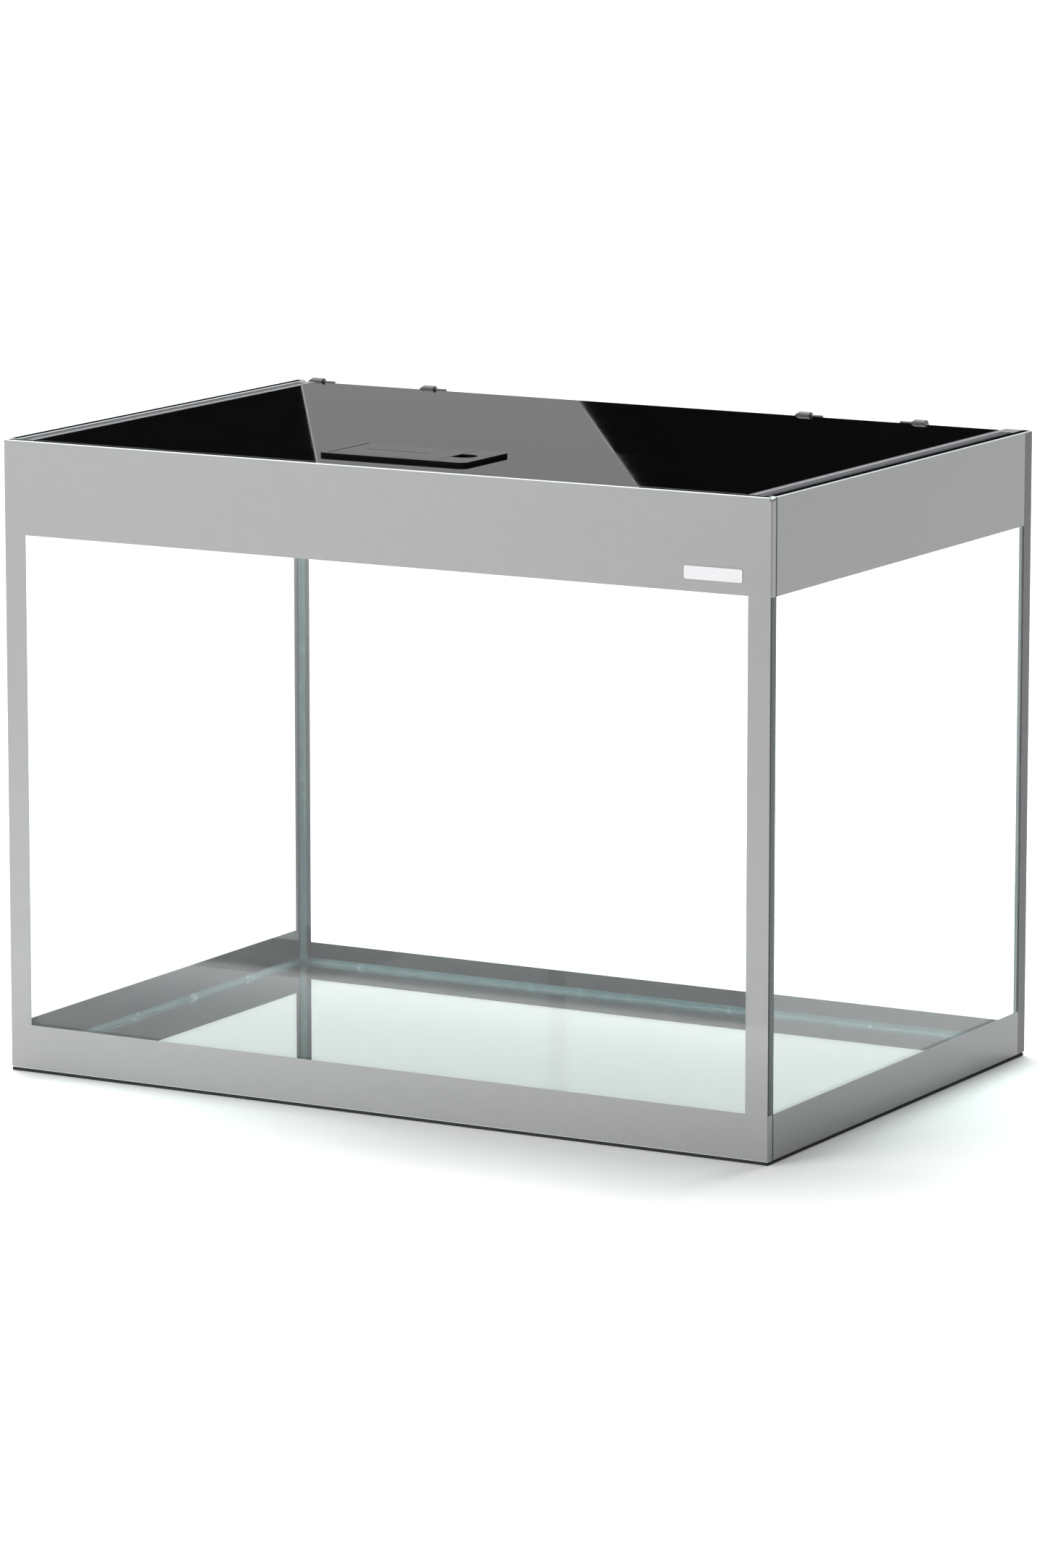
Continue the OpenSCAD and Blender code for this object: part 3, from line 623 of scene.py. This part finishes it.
def socket_screw(name, centre, axis, length, head_r, head_h, shank_r, body):
    """Head and shank turned about axis from centre, the head's outer face. Each ring is a
    circle, except the socket's, whose radius is a hexagon's: its flat distance over the cosine
    of the angle from the flat's middle."""
    turn = np.linspace(0, 2 * math.pi, screw_steps, endpoint=False)
    flat, chamfer = 0.45 * head_r, 0.15 * head_r
    hexagon = flat / np.cos((turn % (math.pi / 3)) - math.pi / 6)
    drafted, socket_depth = hexagon * 0.98, 0.6 * head_h
    centre_r, tip_r, tip_h = 0.001 * head_r, 0.6 * shank_r, 0.3 * shank_r
    circle = 0 * turn
    rings = [(circle + centre_r, socket_depth), (drafted, socket_depth), (hexagon, 0.0),
             (circle + head_r - chamfer, 0.0), (circle + head_r, chamfer),
             (circle + head_r, head_h), (circle + shank_r, head_h + touch),
             (circle + shank_r, length - tip_h), (circle + tip_r, length)]
    along = Vector(axis)
    across = along.orthogonal().normalized()
    other = along.cross(across)
    points = np.empty((len(rings), len(turn), 3))
    for k, (radius, depth) in enumerate(rings):
        points[k] = (np.array(centre) + depth * np.array(along)
                     + radius[:, None] * (np.cos(turn)[:, None] * np.array(across)
                                          + np.sin(turn)[:, None] * np.array(other)))
    return rings_mesh(name, points, False, stainless, body)


low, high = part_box("rail_screws")
rail_screw_r = (high.y - low.y) / 2
for side, x in (("left", low.x + rail_screw_r), ("right", high.x - rail_screw_r)):
    screw = socket_screw(f"rail_screw_{side}", (x, (low.y + high.y) / 2, high.z), (0, 0, -1),
                         high.z - low.z, rail_screw_r, rail_head_h,
                         rail_screw_r * rail_shank_share, "tank")
    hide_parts("rail_screws")

low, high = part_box("hatch_screws")
for k, (x, y) in enumerate([(x, y) for x in (low.x + hatch_head_r, high.x - hatch_head_r)
                            for y in (low.y + hatch_head_r, high.y - hatch_head_r)]):
    screw = socket_screw(f"hatch_screw_{k + 1}", (x, y, low.z), (0, 0, 1), high.z - low.z,
                         hatch_head_r, hatch_head_h, hatch_shank_r, "lid")
    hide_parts("hatch_screws")

low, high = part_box("light_screws")
light_head_r = (high.z - low.z) / 2
for side, x, way in (("left", low.x, 1), ("right", high.x, -1)):
    for row, y in (("front", low.y + light_head_r), ("back", high.y - light_head_r)):
        screw = socket_screw(f"light_screw_{side}_{row}", (x, y, (low.z + high.z) / 2),
                             (way, 0, 0), light_length, light_head_r, light_head_h,
                             light_shank_r, "light")
        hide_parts("light_screws")

# ---- Hinge lugs, leaves and pins --------------------------------------------------------------
# Moulded dark grey nylon lugs clamped over the back pane's top edge, with a black leaf each
# under the lid glass, on 3 mm ground steel pins.
black_plastic = finish("black_plastic", (0.012, 0.012, 0.013), (0.02, 0.02, 0.021),
                       0.34, 0.48, 2600, relief=0.00002)
lug_plastic = finish("lug_plastic", (0.075, 0.072, 0.077), (0.095, 0.092, 0.097),
                     0.34, 0.48, 2600, relief=0.00002)
for k in range(1, 5):
    cad_copy(f"hinge_mount_{k}", "tank", [lug_plastic], bevel=0.0004, segments=3)
    cad_copy(f"hinge_leaf_{k}", "lid", [black_plastic], bevel=0.0003)
cad_copy("hinge_pins", "tank", [stainless], bevel=0.0003)

# ---- Blank badge ------------------------------------------------------------------------------
# Plain satin-chromed plate on the front band, brushed along its length.
chrome = finish("satin_chrome", (0.5, 0.5, 0.51), (0.54, 0.54, 0.55), 0.3, 0.36, 400,
                stretch=(0.02, 1, 1), Metallic=0.5)
cad_copy("blank_badge", "tank", [chrome], bevel=0.0002, segments=3)

# ---- Lid glass --------------------------------------------------------------------------------
# Black float glass with polished faces, faintly clouded where it has been wiped, and ground
# arrises.
black_glass = finish("black_glass", (0.0012, 0.0012, 0.0014), (0.0018, 0.0018, 0.002),
                     0.012, 0.03, 14, IOR=1.52)
black_arris = finish("black_arris", (0.02, 0.02, 0.022), (0.05, 0.05, 0.052), 0.35, 0.5, 1500)
lid = cad_copy("lid_glass", "lid", [black_glass, black_arris]).data
slanting = np.abs(per_face(lid, "normal")).max(1) <= square_on
set_looks(lid, slanting)
lid.polygons.foreach_set("use_smooth", slanting)

# ---- Feeding hatch ----------------------------------------------------------------------------
# Gloss black ABS with matt sides: a bezel let into the glass, a clamp plate screwed up under it,
# and a flap that turns on a steel pin.
gloss_plastic = finish("gloss_plastic", (0.006, 0.006, 0.007), (0.011, 0.011, 0.012),
                       0.06, 0.13, 1800, relief=0.000004, Coat_Weight=0.3, Coat_Roughness=0.05)
level_from = 0.5
matt_sides = finish("matt_sides", (0.003, 0.003, 0.003), (0.005, 0.005, 0.005), 0.5, 0.65, 1800,
                    Specular_IOR_Level=0.08)
cad_copy("hatch_clamp", "lid", [black_plastic], bevel=0.0004)
for node, body, edge_r in (("hatch_bezel", "lid", 0.0005), ("hatch_flap", "flap", 0.0003)):
    plate = cad_copy(node, body, [gloss_plastic, matt_sides], bevel=edge_r,
                     segments=3).data
    set_looks(plate, np.abs(per_face(plate, "normal")[:, 2]) < level_from)
cad_copy("flap_pin", "lid", [stainless], bevel=0.0002)

# ---- Light bar --------------------------------------------------------------------------------
# Finned aluminium channel with a lamp board, a frosted cover and plastic ends that slide on
# the rails' lower lips.
cad_copy("light_housing", "light",
         [finish("bar_aluminium", (0.55, 0.55, 0.57), (0.7, 0.7, 0.72), 0.3, 0.42, 900,
                 stretch=(0.004, 1, 1), relief=0.00001, Metallic=0.75)], bevel=0.0002)
cad_copy("light_board", "light",
         [finish("solder_mask", (0.68, 0.68, 0.64), (0.76, 0.76, 0.72), 0.25, 0.35, 700)],
         bevel=0.0002)
cad_copy("light_diffuser", "light",
         [clear_glass("frosted_cover", (0.93, 0.95, 0.95), 0.32, 0.4)], bevel=0.0002)
for node in ("light_left_cap", "light_right_cap"):
    cad_copy(node, "light", [black_plastic], bevel=0.0006, segments=3)
cad_copy("light_gland", "light", [rubber], bevel=0.0008, segments=3)
phosphor = finish("phosphor", (0.75, 0.6, 0.12), (0.85, 0.72, 0.2), 0.2, 0.3, 4000)
cad_copy("light_lamps", "light", [phosphor], bevel=0.0002)
